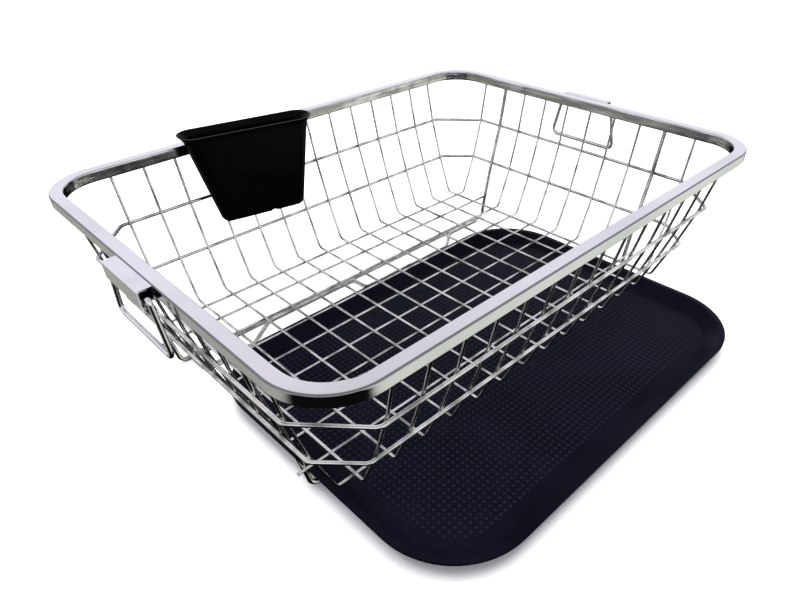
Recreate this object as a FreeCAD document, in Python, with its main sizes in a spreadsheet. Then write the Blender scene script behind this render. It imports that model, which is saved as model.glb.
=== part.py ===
import FreeCAD, Part
import math
import os
import Sketcher

# A wire dish drying rack with a chrome rim, two folding handles, a cutlery cup hung on
# the back rim and a plastic drip tray that slides out under the front.
# +X runs along the rack, +Y to its back, +Z up. The origin is on the ground, in the
# middle of the rack.

os.makedirs("parts", exist_ok=True)
doc = FreeCAD.newDocument("DishRack")

# ---------------------------------------------------------------- driving dimensions

DIMENSIONS = {
    # wires
    "wire_radius": 1.25,
    "ring_radius": 1.6,
    "foot_radius": 2.1,
    "rest_radius": 1.5,
    "wire_pitch": 30.0,
    # basket floor and walls, to the middle of the wires
    "length_wire_height": 25.3,
    "cross_wire_height": 27.7,
    "floor_half_width": 146.7,
    "floor_half_length": 210.4,
    "lower_height": 67.7,
    "lower_half_width": 162.6,
    "lower_half_length": 227.0,
    "upper_height": 111.0,
    "upper_half_width": 176.7,
    "upper_half_length": 238.8,
    "top_half_width": 186.3,
    "top_half_length": 246.3,
    "wire_top_height": 153.0,
    "floor_bend": 5.0,
    "wall_bend": 60.0,
    # rings round the outside of the walls
    "ring_offset": 2.75,
    "ring_chamfer_y": 136.5,
    "ring_chamfer_x": 202.5,
    "ring_bend": 8.0,
    # rim tube, to the middle of its section
    "rim_half_length": 248.3,
    "rim_half_width": 189.3,
    "rim_height": 158.0,
    "rim_corner_radius": 39.5,
    "rim_section_half_width": 5.5,
    "rim_section_half_height": 5.0,
    "rim_edge_radius": 1.6,
    "rim_sheet": 1.0,
    "rim_inner_edge_radius": 0.6,
    # foot wires and the two straight floor wires beside them
    "foot_place_y": 103.3,
    "straight_wire_y": 106.6,
    "straight_wire_length": 448.0,
    "foot_inset": 0.75,
    "foot_floor_half_length": 217.2,
    "foot_floor_height": 27.0,
    "foot_heel_half_length": 212.6,
    "foot_bend": 7.0,
    # tray rest wire, flat on the ground in front of the back foot wire
    "rest_height": 2.4,
    "rest_back_y": 99.72,
    "rest_front_y": 78.0,
    "rest_bend": 5.0,
    "rest_left_x": 203.0,
    "rest_left_end_x": 150.0,
    "rest_left_back_x": 119.0,
    "rest_middle_x": 7.0,
    "rest_right_end_x": 118.0,
    "rest_right_back_x": 149.0,
    "rest_right_x": 198.0,
    # handle brackets, bent from strip and welded to the outside of the rim
    "bracket_length": 54.0,
    "bracket_x": 253.8,
    "bracket_top_height": 163.0,
    "bracket_width": 10.8,
    "bracket_drop": 13.0,
    "bracket_sheet": 1.2,
    "bracket_bend_radius": 2.4,
    "bracket_edge_radius": 0.3,
    "shelf_drop": 8.45,
    "shelf_reach": 9.3,
    "shelf_lip_drop": 6.4,
    # handle bails
    "bail_radius": 2.0,
    "bail_arm_y": 31.0,
    "bail_foot_y": 40.5,
    "bail_axis_x": 259.8,
    "bail_axis_height": 156.6,
    "bail_drop": 41.8,
    "bail_foot_corner": 6.0,
    "bail_arm_corner": 3.6,
    "bail_half_gap": 1.5,
    # drip tray
    "tray_half_length": 208.0,
    "tray_half_width": 156.0,
    "tray_corner": 68.0,
    "tray_place_x": -4.2,
    "tray_place_y": -95.5,
    "tray_bottom_height": 4.4,
    "tray_height": 12.0,
    "tray_lip_width": 5.0,
    "tray_lip_thickness": 2.2,
    "tray_slope": 12.0,
    "tray_wall": 2.2,
    "tray_floor": 2.0,
    # cutlery cup, in its own frame with the origin in the middle of its lip
    "cup_place_x": -70.8,
    "cup_place_y": 158.6,
    "cup_place_z": 175.5,
    "cup_turn": -12.9,
    "cup_mouth_half_length": 64.2,
    "cup_mouth_half_depth": 15.6,
    "cup_mouth_corner": 14.8,
    "cup_lip_edge": 1.4,
    "cup_neck_drop": 5.0,
    "cup_neck_half_length": 59.7,
    "cup_neck_half_depth": 12.6,
    "cup_neck_corner": 11.8,
    "cup_height": 85.4,
    "cup_foot_half_length": 43.6,
    "cup_foot_front": 16.0,
    "cup_foot_back": 2.0,
    "cup_foot_corner": 8.2,
    "cup_heel_rise": 8.0,
    "cup_mid_heel_rise": 4.0,
    "cup_mid_heel_inset": 1.0,
    "cup_low_heel_rise": 1.6,
    "cup_low_heel_inset": 2.8,
    "cup_sole_inset": 5.0,
    "cup_wall": 1.8,
    "cup_floor": 2.0,
    "cup_hole_radius": 2.0,
    "cup_hole_pitch": 14.0,
    "cup_hole_y": 7.0,
    "cup_notch_left": 7.0,
    "cup_notch_right": 12.0,
    "cup_notch_front": 20.0,
    "cup_notch_back": 8.5,
    "cup_notch_height": 5.0,
    # hooks behind the cup
    "hook_left_x": 50.0,
    "hook_right_x": 20.0,
    "hook_width": 10.0,
    "hook_root": 11.5,
    "hook_top": 10.2,
    "hook_bottom": 26.0,
    "hook_reach": 36.4,
    "hook_sheet": 2.0,
}

sheet = doc.addObject("Spreadsheet::Sheet", "Sheet")
for row, (name, value) in enumerate(DIMENSIONS.items(), start=1):
    sheet.set("A%d" % row, name)
    sheet.set("B%d" % row, str(value))
    sheet.setAlias("B%d" % row, name)
doc.recompute()


# ---------------------------------------------------------------- helpers

def size(words):
    """Value of a sum such as 'upper_half_width + ring_offset'."""
    total = 0.0
    sign = 1.0
    for word in words.split():
        if word == "+":
            sign = 1.0
        elif word == "-":
            sign = -1.0
        elif word in DIMENSIONS:
            total += sign * sheet.get(word)
        else:
            total += sign * float(word)
    return total


def formula(words):
    """The same sum as an expression that reads the sheet."""
    return " ".join("Sheet." + word if word in DIMENSIONS else word for word in words.split())


def minus(words):
    """The sum with every sign turned round; it starts with a name, without a sign."""
    signs = {"+": "-", "-": "+"}
    return "- " + " ".join(signs.get(word, word) for word in words.split())


def bind_object(thing, prop, words):
    """Tie a property of an object to the sheet."""
    thing.setExpression(prop, formula(words))


def new_body(label):
    body = doc.addObject("PartDesign::Body", label)
    body.Label = label
    return body


def base_plane(body, role):
    for feature in body.Origin.OriginFeatures:
        if feature.Role == role:
            return feature
    raise ValueError(role)


def new_sketch(body, name, role, offset="0"):
    """A sketch on a base plane of its body, moved along the plane's normal."""
    sketch = body.newObject("Sketcher::SketchObject", name)
    sketch.AttachmentSupport = [(base_plane(body, role), "")]
    sketch.MapMode = "FlatFace"
    lift = FreeCAD.Vector(0, 0, size(offset))
    sketch.AttachmentOffset = FreeCAD.Placement(lift, FreeCAD.Rotation())
    bind_object(sketch, "AttachmentOffset.Base.z", offset)
    return sketch


def bind(sketch, kind, elements, words):
    """Add a dimension to a sketch and tie it to the sheet."""
    index = sketch.addConstraint(Sketcher.Constraint(kind, *elements, size(words)))
    sketch.setExpression("Constraints[%d]" % index, formula(words))


def pin(sketch, geometry, position, place):
    """Fix one point of a sketch at a place given as two sums."""
    bind(sketch, "DistanceX", (-1, 1, geometry, position), place[0])
    bind(sketch, "DistanceY", (-1, 1, geometry, position), place[1])


def place_vector(place):
    return FreeCAD.Vector(size(place[0]), size(place[1]), 0)


def rounded_corner(before, corner, after, radius):
    """Tangent points and centre of an arc that rounds a corner, and whether it turns left."""
    back = (before - corner).normalize()
    onward = (after - corner).normalize()
    half = back.getAngle(onward) / 2.0
    setback = radius / math.tan(half)
    centre = corner + (back + onward).normalize() * (radius / math.sin(half))
    return corner + back * setback, corner + onward * setback, centre, back.cross(onward).z < 0


def bent_path(sketch, places, radii, closed=False):
    """Straight runs through the places, joined by tangent arcs of the given radii."""
    points = [place_vector(place) for place in places]
    count = len(points)
    corners = list(range(count)) if closed else list(range(1, count - 1))
    arcs = {}
    for corner, radius in zip(corners, radii):
        neighbours = points[corner - 1], points[(corner + 1) % count]
        arcs[corner] = rounded_corner(neighbours[0], points[corner], neighbours[1], size(radius))

    lines = []
    for index in range(count if closed else count - 1):
        following = (index + 1) % count
        begin = arcs[index][1] if index in arcs else points[index]
        finish = arcs[following][0] if following in arcs else points[following]
        lines.append(sketch.addGeometry(Part.LineSegment(begin, finish), False))

    for corner, radius in zip(corners, radii):
        entry, leave, centre, left_turn = arcs[corner]
        first, second = (entry, leave) if left_turn else (leave, entry)
        angles = [math.atan2(point.y - centre.y, point.x - centre.x) for point in (first, second)]
        circle = Part.Circle(centre, FreeCAD.Vector(0, 0, 1), size(radius))
        arc = sketch.addGeometry(Part.ArcOfCircle(circle, *angles), False)
        begin, finish = (1, 2) if left_turn else (2, 1)
        line_in = lines[corner - 1]
        line_out = lines[corner]
        sketch.addConstraint(Sketcher.Constraint("Tangent", line_in, 2, arc, begin))
        sketch.addConstraint(Sketcher.Constraint("Tangent", line_out, 1, arc, finish))
        bind(sketch, "Radius", (arc,), radius)
        mark = sketch.addGeometry(Part.Point(points[corner]), True)
        sketch.addConstraint(Sketcher.Constraint("PointOnObject", mark, 1, line_in))
        sketch.addConstraint(Sketcher.Constraint("PointOnObject", mark, 1, line_out))
        pin(sketch, mark, 1, places[corner])
    if not closed:
        pin(sketch, lines[0], 1, places[0])
        pin(sketch, lines[-1], 2, places[-1])


def rounded_rectangle(sketch, left, right, bottom, top, radius):
    places = [(left, bottom), (right, bottom), (right, top), (left, top)]
    bent_path(sketch, places, [radius] * 4, closed=True)


def polygon(sketch, places):
    """Straight sides through the places, with sharp corners."""
    corners = [place_vector(place) for place in places]
    for index in range(len(places)):
        following = (index + 1) % len(places)
        line = sketch.addGeometry(Part.LineSegment(corners[index], corners[following]), False)
        pin(sketch, line, 1, places[index])
        pin(sketch, line, 2, places[following])


def circle(sketch, place, radius):
    ring = Part.Circle(place_vector(place), FreeCAD.Vector(0, 0, 1), size(radius))
    index = sketch.addGeometry(ring, False)
    bind(sketch, "Radius", (index,), radius)
    pin(sketch, index, 3, place)


def pipe_along(body, path, profile):
    pipe = body.newObject("PartDesign::AdditivePipe", body.Label + "_pipe")
    pipe.Profile = profile
    pipe.Spine = path
    body.Tip = pipe
    doc.recompute()
    return pipe


def mirror_in(body, feature, role):
    """Add the mirror image of a feature in one of the body's base planes."""
    mirrored = body.newObject("PartDesign::Mirrored", body.Label + "_mirror")
    mirrored.Originals = [feature]
    mirrored.MirrorPlane = (base_plane(body, role), [""])
    body.Tip = mirrored
    return mirrored


def half_rod(label, path_role, profile_role, places, radii, profile_place, radius):
    """A round rod bent along a path that starts on a middle plane and is mirrored in it."""
    body = new_body(label)
    path = new_sketch(body, label + "_path", path_role)
    bent_path(path, places, radii)
    profile = new_sketch(body, label + "_section", profile_role)
    circle(profile, profile_place, radius)
    pipe = pipe_along(body, path, profile)
    mirror_in(body, pipe, profile_role)
    return body


def pad(body, sketch, length, midplane=False, reverse=False):
    feature = body.newObject("PartDesign::Pad", sketch.Label + "_pad")
    feature.Profile = sketch
    feature.Midplane = midplane
    feature.Reversed = reverse
    feature.Length = size(length)
    bind_object(feature, "Length", length)
    body.Tip = feature
    doc.recompute()
    return feature


def pocket(body, sketch, depth):
    """Cut upward from a sketch."""
    feature = body.newObject("PartDesign::Pocket", sketch.Label + "_cut")
    feature.Profile = sketch
    feature.Reversed = True
    feature.Length = size(depth)
    bind_object(feature, "Length", depth)
    body.Tip = feature
    doc.recompute()
    return feature


def loft(body, kind, name, sections):
    feature = body.newObject("PartDesign::" + kind, name)
    feature.Profile = sections[0]
    feature.Sections = sections[1:]
    feature.Ruled = True
    body.Tip = feature
    doc.recompute()
    return feature


# ---------------------------------------------------------------- basket wires

CROSS_WIRES = 14
LENGTH_WIRES = 10
STRAIGHT_WIRES = {2: "straight_wire_y", 9: "- straight_wire_y"}


def wall_places(floor_half, floor_height, lower_half, upper_half, top_half):
    """Half of a floor and wall wire, from the middle of the floor up to the rim."""
    return [
        ("0", floor_height),
        (floor_half, floor_height),
        (lower_half, "lower_height"),
        (upper_half, "upper_height"),
        (top_half, "wire_top_height"),
    ]


def cross_wire(number):
    """A wire that crosses the floor and climbs the front and back walls."""
    places = wall_places(
        "floor_half_width",
        "cross_wire_height",
        "lower_half_width",
        "upper_half_width",
        "top_half_width",
    )
    bends = ["floor_bend", "wall_bend", "wall_bend"]
    middle = ("0", "cross_wire_height")
    label = "cross_wire_%02d" % number
    wire = half_rod(label, "YZ_Plane", "XZ_Plane", places, bends, middle, "wire_radius")
    steps = number - (CROSS_WIRES + 1) / 2
    wire.setExpression("Placement.Base.x", "Sheet.wire_pitch * %g" % steps)
    return wire


def length_wire(number):
    """A wire that runs along the floor, under the cross wires, and climbs both ends."""
    places = wall_places(
        "floor_half_length",
        "length_wire_height",
        "lower_half_length",
        "upper_half_length",
        "top_half_length",
    )
    bends = ["floor_bend", "wall_bend", "wall_bend"]
    middle = ("0", "length_wire_height")
    label = "length_wire_%02d" % number
    wire = half_rod(label, "XZ_Plane", "YZ_Plane", places, bends, middle, "wire_radius")
    steps = (LENGTH_WIRES + 1) / 2 - number
    wire.setExpression("Placement.Base.y", "Sheet.wire_pitch * %g" % steps)
    return wire


def straight_wire(number, place_y):
    """A floor wire with cut ends, beside a foot wire."""
    body = new_body("length_wire_%02d" % number)
    section = new_sketch(body, body.Label + "_section", "YZ_Plane")
    circle(section, ("0", "length_wire_height"), "wire_radius")
    pad(body, section, "straight_wire_length", midplane=True)
    bind_object(body, "Placement.Base.y", place_y)
    return body


def ring_wire(label, half_length, half_width, height):
    """A wire round the outside of the walls, with cut corners."""
    front = "- %s - ring_offset" % half_width
    back = "%s + ring_offset" % half_width
    end = "%s + ring_offset" % half_length
    places = [
        ("0", front),
        ("ring_chamfer_x", front),
        (end, "- ring_chamfer_y"),
        (end, "ring_chamfer_y"),
        ("ring_chamfer_x", back),
        ("0", back),
    ]
    ring = half_rod(label, "XY_Plane", "YZ_Plane", places, ["ring_bend"] * 4, (front, "0"), "ring_radius")
    bind_object(ring, "Placement.Base.z", height)
    return ring


def foot_wire(label, place_y):
    """A thick wire from the rim down one end, along the ground and up the other end."""
    places = [
        ("0", "foot_radius"),
        ("foot_heel_half_length", "foot_radius"),
        ("foot_floor_half_length", "foot_floor_height"),
        ("lower_half_length - foot_inset", "lower_height"),
        ("upper_half_length - foot_inset", "upper_height"),
        ("top_half_length - foot_inset", "wire_top_height"),
    ]
    bends = ["foot_bend", "wall_bend", "wall_bend", "wall_bend"]
    wire = half_rod(label, "XZ_Plane", "YZ_Plane", places, bends, ("0", "foot_radius"), "foot_radius")
    bind_object(wire, "Placement.Base.y", place_y)
    return wire


def tray_rest_wire():
    """A flat wire with two loops that reach forward from the back foot wire."""
    body = new_body("tray_rest_wire")
    path = new_sketch(body, "rest_path", "XY_Plane", "rest_height")
    places = [
        ("- rest_left_x", "rest_back_y"),
        ("- rest_left_x", "rest_front_y"),
        ("- rest_left_end_x", "rest_front_y"),
        ("- rest_left_back_x", "rest_back_y"),
        ("- rest_middle_x", "rest_back_y"),
        ("- rest_middle_x", "rest_front_y"),
        ("rest_right_end_x", "rest_front_y"),
        ("rest_right_back_x", "rest_back_y"),
        ("rest_right_x", "rest_back_y"),
    ]
    bent_path(path, places, ["rest_bend"] * 7)
    section = new_sketch(body, "rest_section", "XZ_Plane", "- rest_back_y")
    circle(section, ("- rest_left_x", "rest_height"), "rest_radius")
    pipe_along(body, path, section)
    return body


def rim_tube():
    """The rounded rectangular rim, a flat-topped tube."""
    body = new_body("rim_tube")
    path = new_sketch(body, "rim_path", "XY_Plane")
    places = [
        ("0", "- rim_half_width"),
        ("rim_half_length", "- rim_half_width"),
        ("rim_half_length", "rim_half_width"),
        ("0", "rim_half_width"),
    ]
    bent_path(path, places, ["rim_corner_radius"] * 2)
    section = new_sketch(body, "rim_section", "YZ_Plane")
    rounded_rectangle(
        section,
        "- rim_half_width - rim_section_half_width",
        "- rim_half_width + rim_section_half_width",
        "- rim_section_half_height",
        "rim_section_half_height",
        "rim_edge_radius",
    )
    rounded_rectangle(
        section,
        "- rim_half_width - rim_section_half_width + rim_sheet",
        "- rim_half_width + rim_section_half_width - rim_sheet",
        "- rim_section_half_height + rim_sheet",
        "rim_section_half_height - rim_sheet",
        "rim_inner_edge_radius",
    )
    pipe = pipe_along(body, path, section)
    mirror_in(body, pipe, "YZ_Plane")
    bind_object(body, "Placement.Base.z", "rim_height")
    return body


# ---------------------------------------------------------------- handles

def handle_bracket(label):
    """A channel welded to the rim, with an inner leaf that hooks under the bail's bar."""
    body = new_body(label)
    section = new_sketch(body, label + "_section", "XZ_Plane")
    places = [
        ("0", "0"),
        ("bracket_width", "0"),
        ("bracket_width", "- bracket_drop"),
        ("bracket_width - bracket_sheet", "- bracket_drop"),
        ("bracket_width - bracket_sheet", "- bracket_sheet"),
        ("bracket_sheet", "- bracket_sheet"),
        ("bracket_sheet", "- shelf_drop"),
        ("shelf_reach - bracket_sheet", "- shelf_drop"),
        ("shelf_reach - bracket_sheet", "- shelf_lip_drop"),
        ("shelf_reach", "- shelf_lip_drop"),
        ("shelf_reach", "- shelf_drop - bracket_sheet"),
        ("0", "- shelf_drop - bracket_sheet"),
    ]
    edge = "bracket_edge_radius"
    radii = [edge] * len(places)
    radii[1] = "bracket_bend_radius"
    radii[4] = "bracket_bend_radius - bracket_sheet"
    bent_path(section, places, radii, closed=True)
    pad(body, section, "bracket_length", midplane=True)
    return body


def handle_bail(label):
    """A wire loop whose two cut ends meet inside the bracket."""
    places = [
        ("0", "- bail_drop"),
        ("bail_foot_y", "- bail_drop"),
        ("bail_arm_y", "0"),
        ("bail_half_gap", "0"),
    ]
    bends = ["bail_foot_corner", "bail_arm_corner"]
    return half_rod(label, "YZ_Plane", "XZ_Plane", places, bends, ("0", "- bail_drop"), "bail_radius")


# ---------------------------------------------------------------- drip tray

def tray_section(body, name, inset, height):
    """A level outline of the tray, moved in or out with its corners."""
    sketch = new_sketch(body, name, "XY_Plane", height)
    half_length = "tray_half_length" + inset
    half_width = "tray_half_width" + inset
    corner = "tray_corner" + inset
    rounded_rectangle(sketch, minus(half_length), half_length, minus(half_width), half_width, corner)
    return sketch


def drip_tray():
    """A shallow tray with round corners, sloping walls and a flat lip."""
    body = new_body("drip_tray")
    wall = " - tray_lip_width"
    outside = wall + " + tray_wall"
    lip_height = "tray_height - tray_lip_thickness"
    outer_foot = tray_section(body, "tray_wall_foot", outside + " - tray_slope", "0")
    outer_top = tray_section(body, "tray_wall_top", outside, lip_height)
    loft(body, "AdditiveLoft", "tray_bowl", [outer_foot, outer_top])
    lip = tray_section(body, "tray_lip_outline", "", lip_height)
    pad(body, lip, "tray_lip_thickness")
    inner_foot = tray_section(body, "tray_well_foot", wall + " - tray_slope", "tray_floor")
    inner_top = tray_section(body, "tray_well_top", wall, "tray_height")
    loft(body, "SubtractiveLoft", "tray_well", [inner_foot, inner_top])
    bind_object(body, "Placement.Base.x", "tray_place_x")
    bind_object(body, "Placement.Base.y", "tray_place_y")
    bind_object(body, "Placement.Base.z", "tray_bottom_height")
    return body


# ---------------------------------------------------------------- cutlery cup

CUP_MOUTH = ("cup_mouth_half_length", "cup_mouth_half_depth", "cup_mouth_half_depth", "cup_mouth_corner")
CUP_NECK = ("cup_neck_half_length", "cup_neck_half_depth", "cup_neck_half_depth", "cup_neck_corner")
CUP_FOOT = ("cup_foot_half_length", "cup_foot_front", "cup_foot_back", "cup_foot_corner")


def cup_section(body, name, outline, inset, height):
    """A level section of the cup: half length, reach to the front, reach to the back, corner."""
    half_length, front, back, corner = outline
    sketch = new_sketch(body, name, "XY_Plane", height)
    side = half_length + inset
    rounded_rectangle(sketch, minus(side), side, minus(front + inset), back + inset, corner + inset)
    return sketch


def cutlery_cup():
    """A narrow tapering cup with a thin flared lip, two hooks at the back and a drained foot."""
    body = new_body("cutlery_cup")
    sole = "- cup_height"
    low_heel = sole + " + cup_low_heel_rise"
    mid_heel = sole + " + cup_mid_heel_rise"
    heel = sole + " + cup_heel_rise"
    shell = [
        cup_section(body, "cup_sole", CUP_FOOT, " - cup_sole_inset", sole),
        cup_section(body, "cup_low_heel", CUP_FOOT, " - cup_low_heel_inset", low_heel),
        cup_section(body, "cup_mid_heel", CUP_FOOT, " - cup_mid_heel_inset", mid_heel),
        cup_section(body, "cup_heel", CUP_FOOT, "", heel),
        cup_section(body, "cup_neck", CUP_NECK, "", "- cup_neck_drop"),
        cup_section(body, "cup_mouth", CUP_MOUTH, "", "0"),
    ]
    loft(body, "AdditiveLoft", "cup_shell", shell)

    for place in ("hook_left", "hook_right"):
        profile = new_sketch(body, place + "_profile", "YZ_Plane", "- %s_x" % place)
        places = [
            ("hook_root", "- hook_top - hook_sheet"),
            ("hook_root", "- hook_top"),
            ("hook_reach", "- hook_top"),
            ("hook_reach", "- hook_bottom"),
            ("hook_reach - hook_sheet", "- hook_bottom"),
            ("hook_reach - hook_sheet", "- hook_top - hook_sheet"),
        ]
        polygon(profile, places)
        pad(body, profile, "hook_width", midplane=True)

    wall = " - cup_wall"
    well_foot = wall + " - cup_low_heel_inset"
    well = [
        cup_section(body, "cup_well_floor", CUP_FOOT, well_foot, sole + " + cup_floor"),
        cup_section(body, "cup_well_heel", CUP_FOOT, wall, heel),
        cup_section(body, "cup_well_neck", CUP_NECK, wall, "- cup_neck_drop"),
        cup_section(body, "cup_well_mouth", CUP_MOUTH, " - cup_lip_edge", "0"),
    ]
    loft(body, "SubtractiveLoft", "cup_well", well)

    holes = new_sketch(body, "cup_drain_holes", "XY_Plane", sole)
    pitch = "cup_hole_pitch"
    for along in ("- %s - %s" % (pitch, pitch), "- " + pitch, "0", "%s + %s" % (pitch, pitch)):
        circle(holes, (along, "- cup_hole_y"), "cup_hole_radius")
    pocket(body, holes, "cup_floor + cup_floor")
    notch = new_sketch(body, "cup_drain_notch", "XY_Plane", sole)
    places = [
        ("cup_notch_left", "- cup_notch_front"),
        ("cup_notch_right", "- cup_notch_front"),
        ("cup_notch_right", "- cup_notch_back"),
        ("cup_notch_left", "- cup_notch_back"),
    ]
    polygon(notch, places)
    pocket(body, notch, "cup_notch_height")
    for axis in "xyz":
        bind_object(body, "Placement.Base." + axis, "cup_place_" + axis)
    body.setExpression("Placement.Rotation.Angle", "Sheet.cup_turn")
    return body


# ---------------------------------------------------------------- the whole rack

parts = []
for number in range(1, CROSS_WIRES + 1):
    parts.append(cross_wire(number))
for number in range(1, LENGTH_WIRES + 1):
    if number in STRAIGHT_WIRES:
        parts.append(straight_wire(number, STRAIGHT_WIRES[number]))
    else:
        parts.append(length_wire(number))
parts.append(ring_wire("ring_upper", "upper_half_length", "upper_half_width", "upper_height"))
parts.append(ring_wire("ring_lower", "lower_half_length", "lower_half_width", "lower_height"))
parts.append(foot_wire("foot_wire_back", "foot_place_y"))
parts.append(foot_wire("foot_wire_front", "- foot_place_y"))
parts.append(tray_rest_wire())
parts.append(rim_tube())

HALF_TURN = 180
for side, sign, turn in (("left", "- ", HALF_TURN), ("right", "", 0)):
    bracket = handle_bracket("bracket_" + side)
    bracket.Placement.Rotation = FreeCAD.Rotation(FreeCAD.Vector(0, 0, 1), turn)
    bind_object(bracket, "Placement.Base.x", sign + "bracket_x")
    bind_object(bracket, "Placement.Base.z", "bracket_top_height")
    bail = handle_bail("bail_" + side)
    bind_object(bail, "Placement.Base.x", sign + "bail_axis_x")
    bind_object(bail, "Placement.Base.z", "bail_axis_height")
    parts += [bracket, bail]
parts.append(drip_tray())
parts.append(cutlery_cup())
doc.recompute()

for thing in doc.Objects:
    if "Invalid" in thing.State or "Error" in thing.State:
        raise RuntimeError("%s: %s" % (thing.Label, thing.State))
for part in parts:
    shape = part.Shape
    if shape.isNull() or not shape.isValid() or len(shape.Solids) != 1:
        raise RuntimeError("%s is not one sound solid" % part.Label)
for part in parts:
    part.Shape.exportStep("parts/%s.step" % part.Label)
    box = part.Shape.BoundBox
    ends = (part.Label, box.XMin, box.XMax, box.YMin, box.YMax, box.ZMin, box.ZMax, part.Shape.Volume)
    print("%-16s x %7.1f %7.1f  y %7.1f %7.1f  z %6.1f %6.1f  volume %9.1f" % ends)
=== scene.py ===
import math

import bpy
from mathutils import Matrix, Vector

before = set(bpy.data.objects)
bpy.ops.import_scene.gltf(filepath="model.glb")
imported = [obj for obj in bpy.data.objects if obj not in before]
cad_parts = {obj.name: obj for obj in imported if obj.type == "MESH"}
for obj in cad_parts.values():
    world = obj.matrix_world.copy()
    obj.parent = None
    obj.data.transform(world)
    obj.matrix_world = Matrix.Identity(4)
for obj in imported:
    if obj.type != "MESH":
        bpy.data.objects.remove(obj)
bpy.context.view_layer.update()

# ---------------------------------------------------------------- names of the pieces

CROSS_WIRES = ["cross_wire_%02d" % number for number in range(1, 15)]
LENGTH_WIRES = ["length_wire_%02d" % number for number in range(1, 11)]
FOOT_WIRES = ["foot_wire_back", "foot_wire_front"]
RINGS = ["ring_upper", "ring_lower"]
BRACKETS = ["bracket_left", "bracket_right"]
BAILS = ["bail_left", "bail_right"]


# ---------------------------------------------------------------- shader arithmetic

class Shader:
    """The node tree of a material or of the world, with one method that adds a node."""

    def __init__(self, owner, surface="Principled BSDF"):
        self.owner = owner
        owner.use_nodes = True
        self.tree = owner.node_tree
        self.surface = self.tree.nodes[surface]

    def node(self, kind, settings=None, **sockets):
        made = self.tree.nodes.new("ShaderNode" + kind)
        for key, value in (settings or {}).items():
            setattr(made, key, value)
        for key, value in sockets.items():
            self.put(made.inputs[key.replace("_", " ")], value)
        return made

    def put(self, socket, value):
        if isinstance(value, Value):
            self.tree.links.new(value.socket, socket)
        else:
            socket.default_value = value

    def math(self, operation, *terms):
        made = self.tree.nodes.new("ShaderNodeMath")
        made.operation = operation
        for socket, term in zip(made.inputs, terms):
            self.put(socket, term)
        return Value(self, made.outputs[0])

    def output(self, made, name):
        return Value(self, made.outputs[name])

    def set(self, **sockets):
        for key, value in sockets.items():
            self.put(self.surface.inputs[key.replace("_", " ")], value)

    def place(self):
        """X, Y and Z in the object's own coordinates, in metres."""
        coordinates = self.node("TexCoord")
        apart = self.node("SeparateXYZ", Vector=self.output(coordinates, "Object"))
        return [self.output(apart, axis) for axis in "XYZ"]

    def noise(self, scale, detail=3.0, stretch=(1.0, 1.0, 1.0)):
        coordinates = self.output(self.node("TexCoord"), "Object")
        stretched = self.node("VectorMath", {"operation": "MULTIPLY"})
        self.put(stretched.inputs[0], coordinates)
        stretched.inputs[1].default_value = stretch
        cloud = self.node("TexNoise", Vector=self.output(stretched, "Vector"), Scale=scale, Detail=detail)
        return self.output(cloud, "Fac")

    def blend(self, factor, first, second):
        mixed = self.node("Mix", {"data_type": "RGBA"})
        self.put(mixed.inputs[0], factor)
        self.put(mixed.inputs[6], first)
        self.put(mixed.inputs[7], second)
        return Value(self, mixed.outputs[2])

    def bump(self, height, distance, strength=1.0):
        raised = self.node("Bump", Height=height, Distance=distance, Strength=strength)
        return self.output(raised, "Normal")


class Value:
    """A number that varies over a surface; it takes + - * and a few functions."""

    def __init__(self, shader, socket):
        self.shader = shader
        self.socket = socket

    def __add__(self, other):
        return self.shader.math("ADD", self, other)

    def __sub__(self, other):
        return self.shader.math("SUBTRACT", self, other)

    def __mul__(self, other):
        return self.shader.math("MULTIPLY", self, other)

    def __rsub__(self, other):
        return self.shader.math("SUBTRACT", other, self)

    __radd__ = __add__
    __rmul__ = __mul__

    def absolute(self):
        return self.shader.math("ABSOLUTE", self)

    def above_zero(self):
        return self.shader.math("MAXIMUM", self, 0.0)

    def root(self):
        return self.shader.math("SQRT", self)

    def wave(self, pitch):
        """1 at every whole pitch and -1 half way between."""
        return self.shader.math("COSINE", self * (2 * math.pi / pitch))

    def ramp(self, low, high, first=0.0, last=1.0):
        eased = self.shader.node("MapRange", {"interpolation_type": "SMOOTHSTEP"}, Value=self)
        for key, value in (("From Min", low), ("From Max", high), ("To Min", first), ("To Max", last)):
            self.shader.put(eased.inputs[key], value)
        return Value(self.shader, eased.outputs[0])


# ---------------------------------------------------------------- materials

def new_look(name):
    return Shader(bpy.data.materials.new(name))


def past_corner_centres(x, y, half_length, half_width):
    """How far a point lies outside the rectangle of the corner centres."""
    along = (x.absolute() - half_length).above_zero()
    aside = (y.absolute() - half_width).above_zero()
    return (along * along + aside * aside).root()


WIRE_SHINE = (0.84, 0.83, 0.80, 1)
# The darker wire colour is partly dull plating and partly painted dark reflection.
WIRE_DULL_AND_PAINTED_DARK_REFLECTION = (0.26, 0.25, 0.23, 1)


def wire_chrome():
    """Plated wire, darker in random patches: partly dull plating, partly painted dark reflection."""
    look = new_look("wire_chrome")
    cloud = look.noise(60.0)
    # Random patches of partly dull plating and partly painted dark reflection.
    look.set(Base_Color=look.blend(cloud.ramp(0.35, 0.75), WIRE_SHINE, WIRE_DULL_AND_PAINTED_DARK_REFLECTION), Metallic=1.0)
    look.set(Roughness=cloud.ramp(0.3, 0.8, 0.10, 0.24))
    look.set(Normal=look.bump(look.noise(400.0), 0.00008))
    return look.owner


RIM_SHINE = (0.84, 0.83, 0.85, 1)
RIM_DULL = (0.74, 0.74, 0.75, 1)
RIM_INSIDE_PAINTED_DARK_REFLECTION = (0.44, 0.44, 0.42, 1)
RIM_EDGE_PAINTED_DARK_REFLECTION = (0.20, 0.20, 0.20, 1)
RIM_CENTRE_X = 0.2088
RIM_CENTRE_Y = 0.1498
RIM_CORNER = 0.0395


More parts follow.
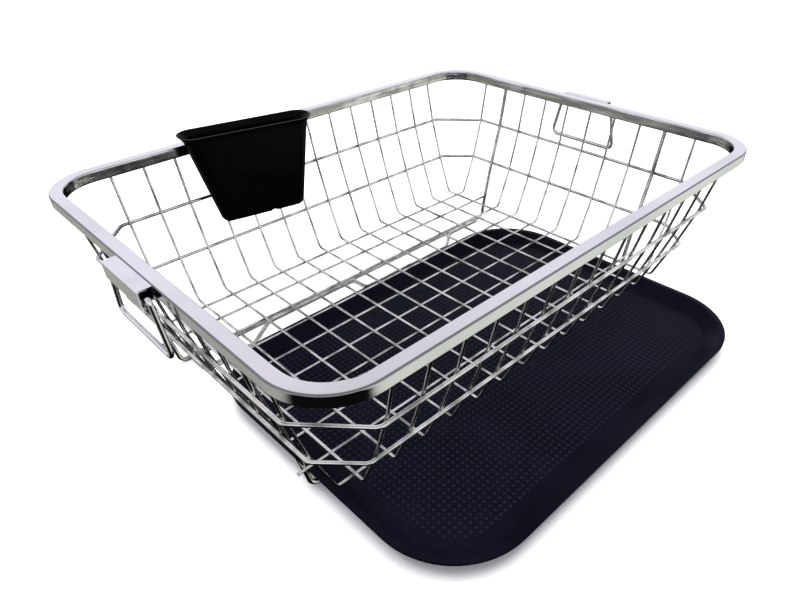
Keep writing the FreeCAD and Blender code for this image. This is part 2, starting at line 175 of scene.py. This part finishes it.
def rim_chrome():
    """Bright plate with faint draw lines along the tube and wrinkles inside its corners; painted dark
    reflection in streaks on the inner face, and a thin painted dark reflection line on the outer top
    edge.
    """
    look = new_look("rim_chrome")
    x, y, z = look.place()
    outward = past_corner_centres(x, y, RIM_CENTRE_X, RIM_CENTRE_Y) - RIM_CORNER
    inside = outward.ramp(-0.0053, -0.0047, 1.0, 0.0)
    # Mask for a painted dark reflection line along the rim's outer top edge.
    painted_reflection_edge = outward.ramp(0.0040, 0.0047) * z.ramp(0.1615, 0.1624)
    streaks = look.noise(30.0, 2.0, (1.0, 1.0, 12.0))
    plate = look.blend(look.noise(9.0).ramp(0.4, 0.7), RIM_SHINE, RIM_DULL)
    # Painted dark reflection: the inner face is darkened in streaks where it would reflect the dark tray
    # and basket floor.
    plate = look.blend(inside * streaks.ramp(0.3, 0.6), plate, RIM_INSIDE_PAINTED_DARK_REFLECTION)
    # Painted dark reflection: a thin dark line along the rim's outer top edge.
    look.set(Base_Color=look.blend(painted_reflection_edge, plate, RIM_EDGE_PAINTED_DARK_REFLECTION), Metallic=1.0)
    look.set(Roughness=look.noise(40.0).ramp(0.3, 0.8, 0.07, 0.14))
    in_corner = x.absolute().ramp(0.205, 0.215) * y.absolute().ramp(0.145, 0.155)
    wrinkle = look.noise(70.0, 4.0, (1.0, 1.0, 4.0)) * in_corner * inside
    look.set(Normal=look.bump(wrinkle + streaks * 0.06, 0.0012, 0.6))
    return look.owner


def sheet_chrome():
    """Plated sheet and handle wire, a little duller than the rim."""
    look = new_look("sheet_chrome")
    cloud = look.noise(30.0)
    look.set(Base_Color=look.blend(cloud.ramp(0.4, 0.7), RIM_SHINE, RIM_DULL), Metallic=1.0)
    look.set(Roughness=cloud.ramp(0.3, 0.8, 0.08, 0.2))
    look.set(Normal=look.bump(look.noise(120.0), 0.0002))
    return look.owner


TRAY_DARK = (0.0016, 0.0017, 0.0042, 1)
TRAY_LIGHT = (0.0028, 0.0031, 0.0070, 1)
TRAY_DOT_PAINTED_SHEEN = (0.0065, 0.0072, 0.0140, 1)
DOT_PITCH = 0.0052
TRAY_SHIFT_X = 0.0042
TRAY_SHIFT_Y = 0.0955
TRAY_CENTRE_X = 0.140
TRAY_CENTRE_Y = 0.088
TRAY_CORNER = 0.068


def tray_plastic():
    """Satin plastic with a grid of small raised dots on the floor of the tray, the dots coloured lighter
    as painted sheen on their raised tops.
    """
    look = new_look("tray_plastic")
    x, y, z = look.place()
    cloud = look.noise(14.0)
    along, aside = x + TRAY_SHIFT_X, y + TRAY_SHIFT_Y
    from_edge = TRAY_CORNER - past_corner_centres(along, aside, TRAY_CENTRE_X, TRAY_CENTRE_Y)
    on_floor = z.ramp(0.0064, 0.0075, 1.0, 0.0) * from_edge.ramp(0.0235, 0.0265)
    dots = (x.wave(DOT_PITCH) + y.wave(DOT_PITCH)).ramp(0.2, 1.2) * on_floor
    grain = look.noise(900.0, 2.0)
    plain = look.blend(cloud.ramp(0.3, 0.7), TRAY_DARK, TRAY_LIGHT)
    # Painted sheen: the raised dots are coloured lighter than the plain plastic.
    look.set(Base_Color=look.blend(dots, plain, TRAY_DOT_PAINTED_SHEEN))
    look.set(Roughness=cloud.ramp(0.3, 0.8, 0.26, 0.38), IOR=1.15, Specular_IOR_Level=0.3)
    look.set(Normal=look.bump(dots + grain * 0.08, 0.0006, 0.8))
    return look.owner


def cup_plastic():
    """Glossy black plastic with a faint unevenness."""
    look = new_look("cup_plastic")
    cloud = look.noise(25.0)
    look.set(Base_Color=look.blend(cloud, (0.0006, 0.0006, 0.0007, 1), (0.0016, 0.0016, 0.0018, 1)))
    look.set(Roughness=cloud.ramp(0.3, 0.8, 0.12, 0.22), IOR=1.2, Specular_IOR_Level=0.2)
    look.set(Normal=look.bump(look.noise(60.0), 0.0003))
    return look.owner


def dress(material, names):
    for name in names:
        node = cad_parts[name]
        node.data.materials.clear()
        node.data.materials.append(material)
        bpy.ops.object.select_all(action="DESELECT")
        node.select_set(True)
        bpy.context.view_layer.objects.active = node
        bpy.ops.object.shade_smooth_by_angle(angle=math.radians(35))


dress(wire_chrome(), CROSS_WIRES + LENGTH_WIRES + FOOT_WIRES + RINGS + ["tray_rest_wire"])
dress(rim_chrome(), ["rim_tube"])
dress(sheet_chrome(), BRACKETS + BAILS)
dress(tray_plastic(), ["drip_tray"])
dress(cup_plastic(), ["cutlery_cup"])


# ---------------------------------------------------------------- floor, light and camera

def floor():
    bpy.ops.mesh.primitive_plane_add(size=16.0, location=(0, 0, -0.0004))
    ground = bpy.context.object
    ground.name = "floor"
    look = new_look("floor_white")
    look.set(Base_Color=(0.92, 0.92, 0.92, 1), Roughness=0.9)
    ground.data.materials.append(look.owner)
    ground.visible_glossy = False


def lamp(name, place, aim, width, height, power):
    bpy.ops.object.light_add(type="AREA", location=place)
    light = bpy.context.object
    light.name = name
    light.data.shape = "RECTANGLE"
    light.data.size = width
    light.data.size_y = height
    light.data.energy = power
    light.visible_glossy = False
    light.rotation_euler = (Vector(aim) - Vector(place)).to_track_quat("-Z", "Y").to_euler()


floor()
lamp("light_over", (0.0, 0.3, 2.2), (0, 0, 0), 2.6, 2.6, 95.0)
lamp("light_back", (1.6, 2.0, 1.3), (0, 0, 0.1), 2.0, 1.2, 40.0)


def studio():
    """Soft light from above and black below, with a pale reflector at each front side."""
    world = bpy.data.worlds.new("studio")
    bpy.context.scene.world = world
    look = Shader(world, "Background")
    direction = look.output(look.node("TexCoord"), "Generated")
    apart = look.node("SeparateXYZ", Vector=direction)
    x, y, z = [look.output(apart, axis) for axis in "XYZ"]
    across = (x - y) * math.sqrt(0.5)
    reflectors = across.ramp(0.6, 0.74) * 0.8 + across.ramp(-0.6, -0.74) * 0.4
    below = look.blend(reflectors, (0.004, 0.004, 0.004, 1), (0.95, 1.0, 0.90, 1))
    above = look.blend(z.ramp(0.5, 0.9), (0.92, 0.90, 1.0, 1), (0.62, 0.62, 0.65, 1))
    look.set(Color=look.blend(z.ramp(-0.05, 0.05), below, above), Strength=1.0)


studio()

CAMERA_PLACE = Vector((-0.35493, -0.37714, 0.36731))
CAMERA_TURN = math.radians(43.92)
CAMERA_TILT = math.radians(39.39)
CAMERA_ROLL = math.radians(-0.71)


def camera():
    bpy.ops.object.camera_add(location=CAMERA_PLACE)
    made = bpy.context.object
    made.name = "camera"
    flat = math.cos(CAMERA_TILT)
    ahead = Vector((math.sin(CAMERA_TURN) * flat, math.cos(CAMERA_TURN) * flat, -math.sin(CAMERA_TILT)))
    level = Vector((math.cos(CAMERA_TURN), -math.sin(CAMERA_TURN), 0))
    upright = level.cross(ahead)
    right = level * math.cos(CAMERA_ROLL) + upright * math.sin(CAMERA_ROLL)
    up = upright * math.cos(CAMERA_ROLL) - level * math.sin(CAMERA_ROLL)
    turn = Matrix((right, up, -ahead)).transposed().to_4x4()
    made.matrix_world = Matrix.Translation(CAMERA_PLACE) @ turn
    made.data.sensor_width = 36.0
    made.data.lens = 27.39
    made.data.shift_x = -0.0327
    made.data.shift_y = 0.0720
    made.data.clip_start = 0.01
    bpy.context.scene.camera = made


camera()
bpy.context.scene.view_settings.view_transform = "Standard"
